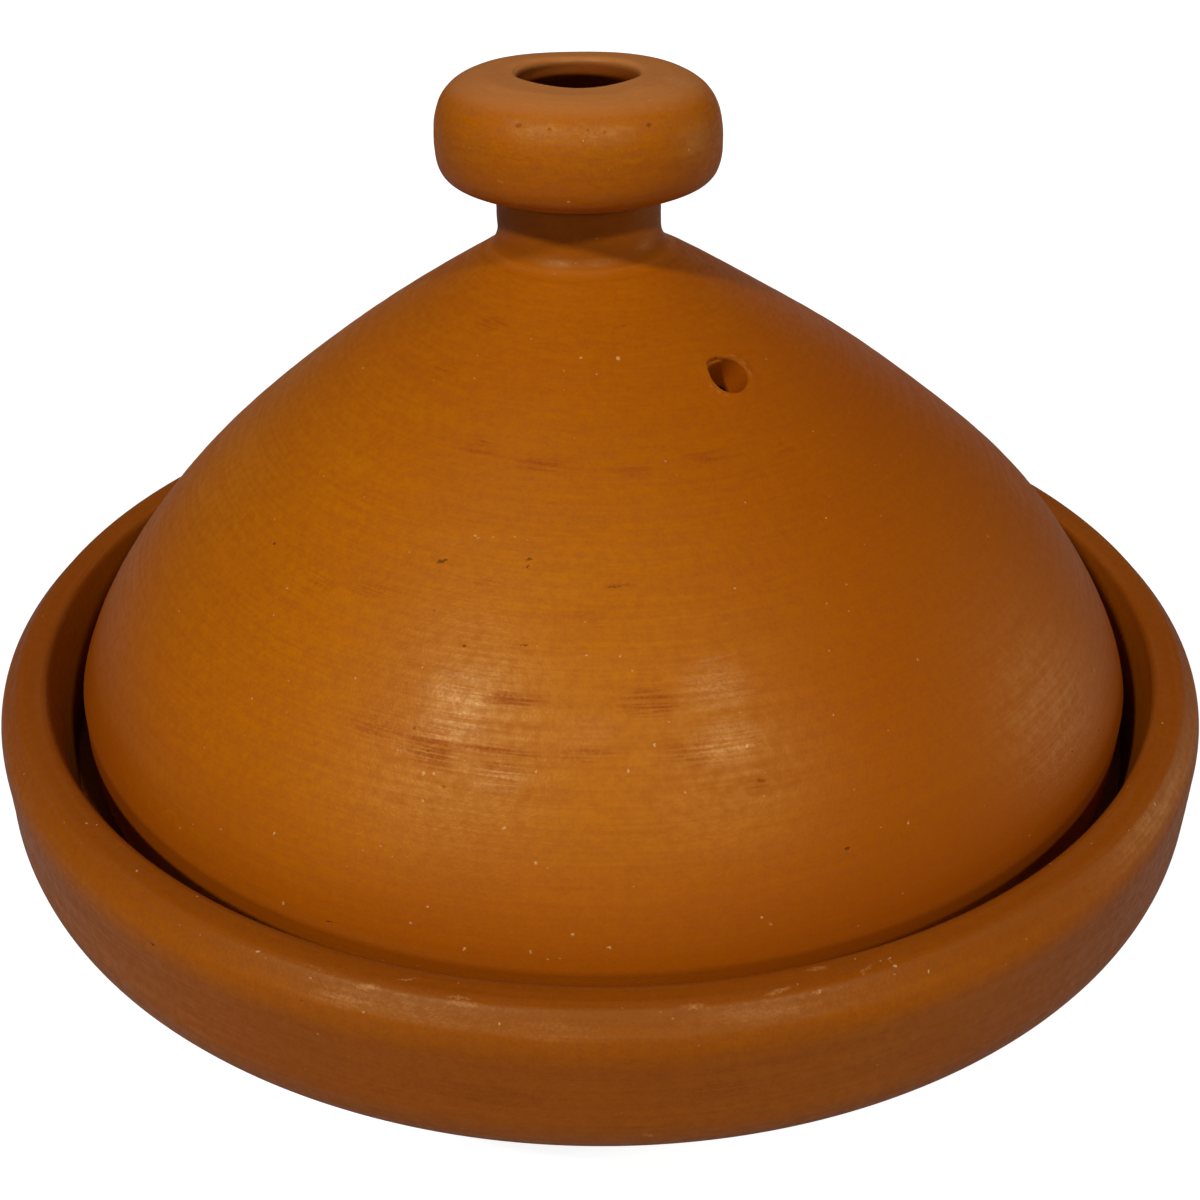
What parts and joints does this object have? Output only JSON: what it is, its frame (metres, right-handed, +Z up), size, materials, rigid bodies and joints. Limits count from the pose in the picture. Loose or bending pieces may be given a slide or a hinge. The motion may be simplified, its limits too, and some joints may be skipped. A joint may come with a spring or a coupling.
{
  "type": "tagine",
  "caption": "Unglazed terracotta tagine: a shallow flared dish with a seat inside its thick rim, a tall vented cone lid that lifts off, and a hollow knob on a short neck.",
  "frame": {"origin": "centre of the dish's flat foot, on the table", "axes": "+Z up through the lid, +X to the right and +Y to the back as seen from the front of the picture"},
  "size_m": [0.3, 0.3, 0.2071],
  "materials": {
    "dish_clay": "unglazed burnished terracotta",
    "cone_clay": "unglazed burnished terracotta",
    "knob_clay": "unglazed burnished terracotta"
  },
  "bodies": {
    "dish": {"dish": "dish_clay"},
    "lid": {"lid_cone": "cone_clay", "lid_knob": "knob_clay"}
  },
  "joints": [
    {"name": "lid_lift", "type": "slide", "parent": "dish", "child": "lid", "axis": [0, 0, 1], "range_m": [0, 0.15]}
  ]
}
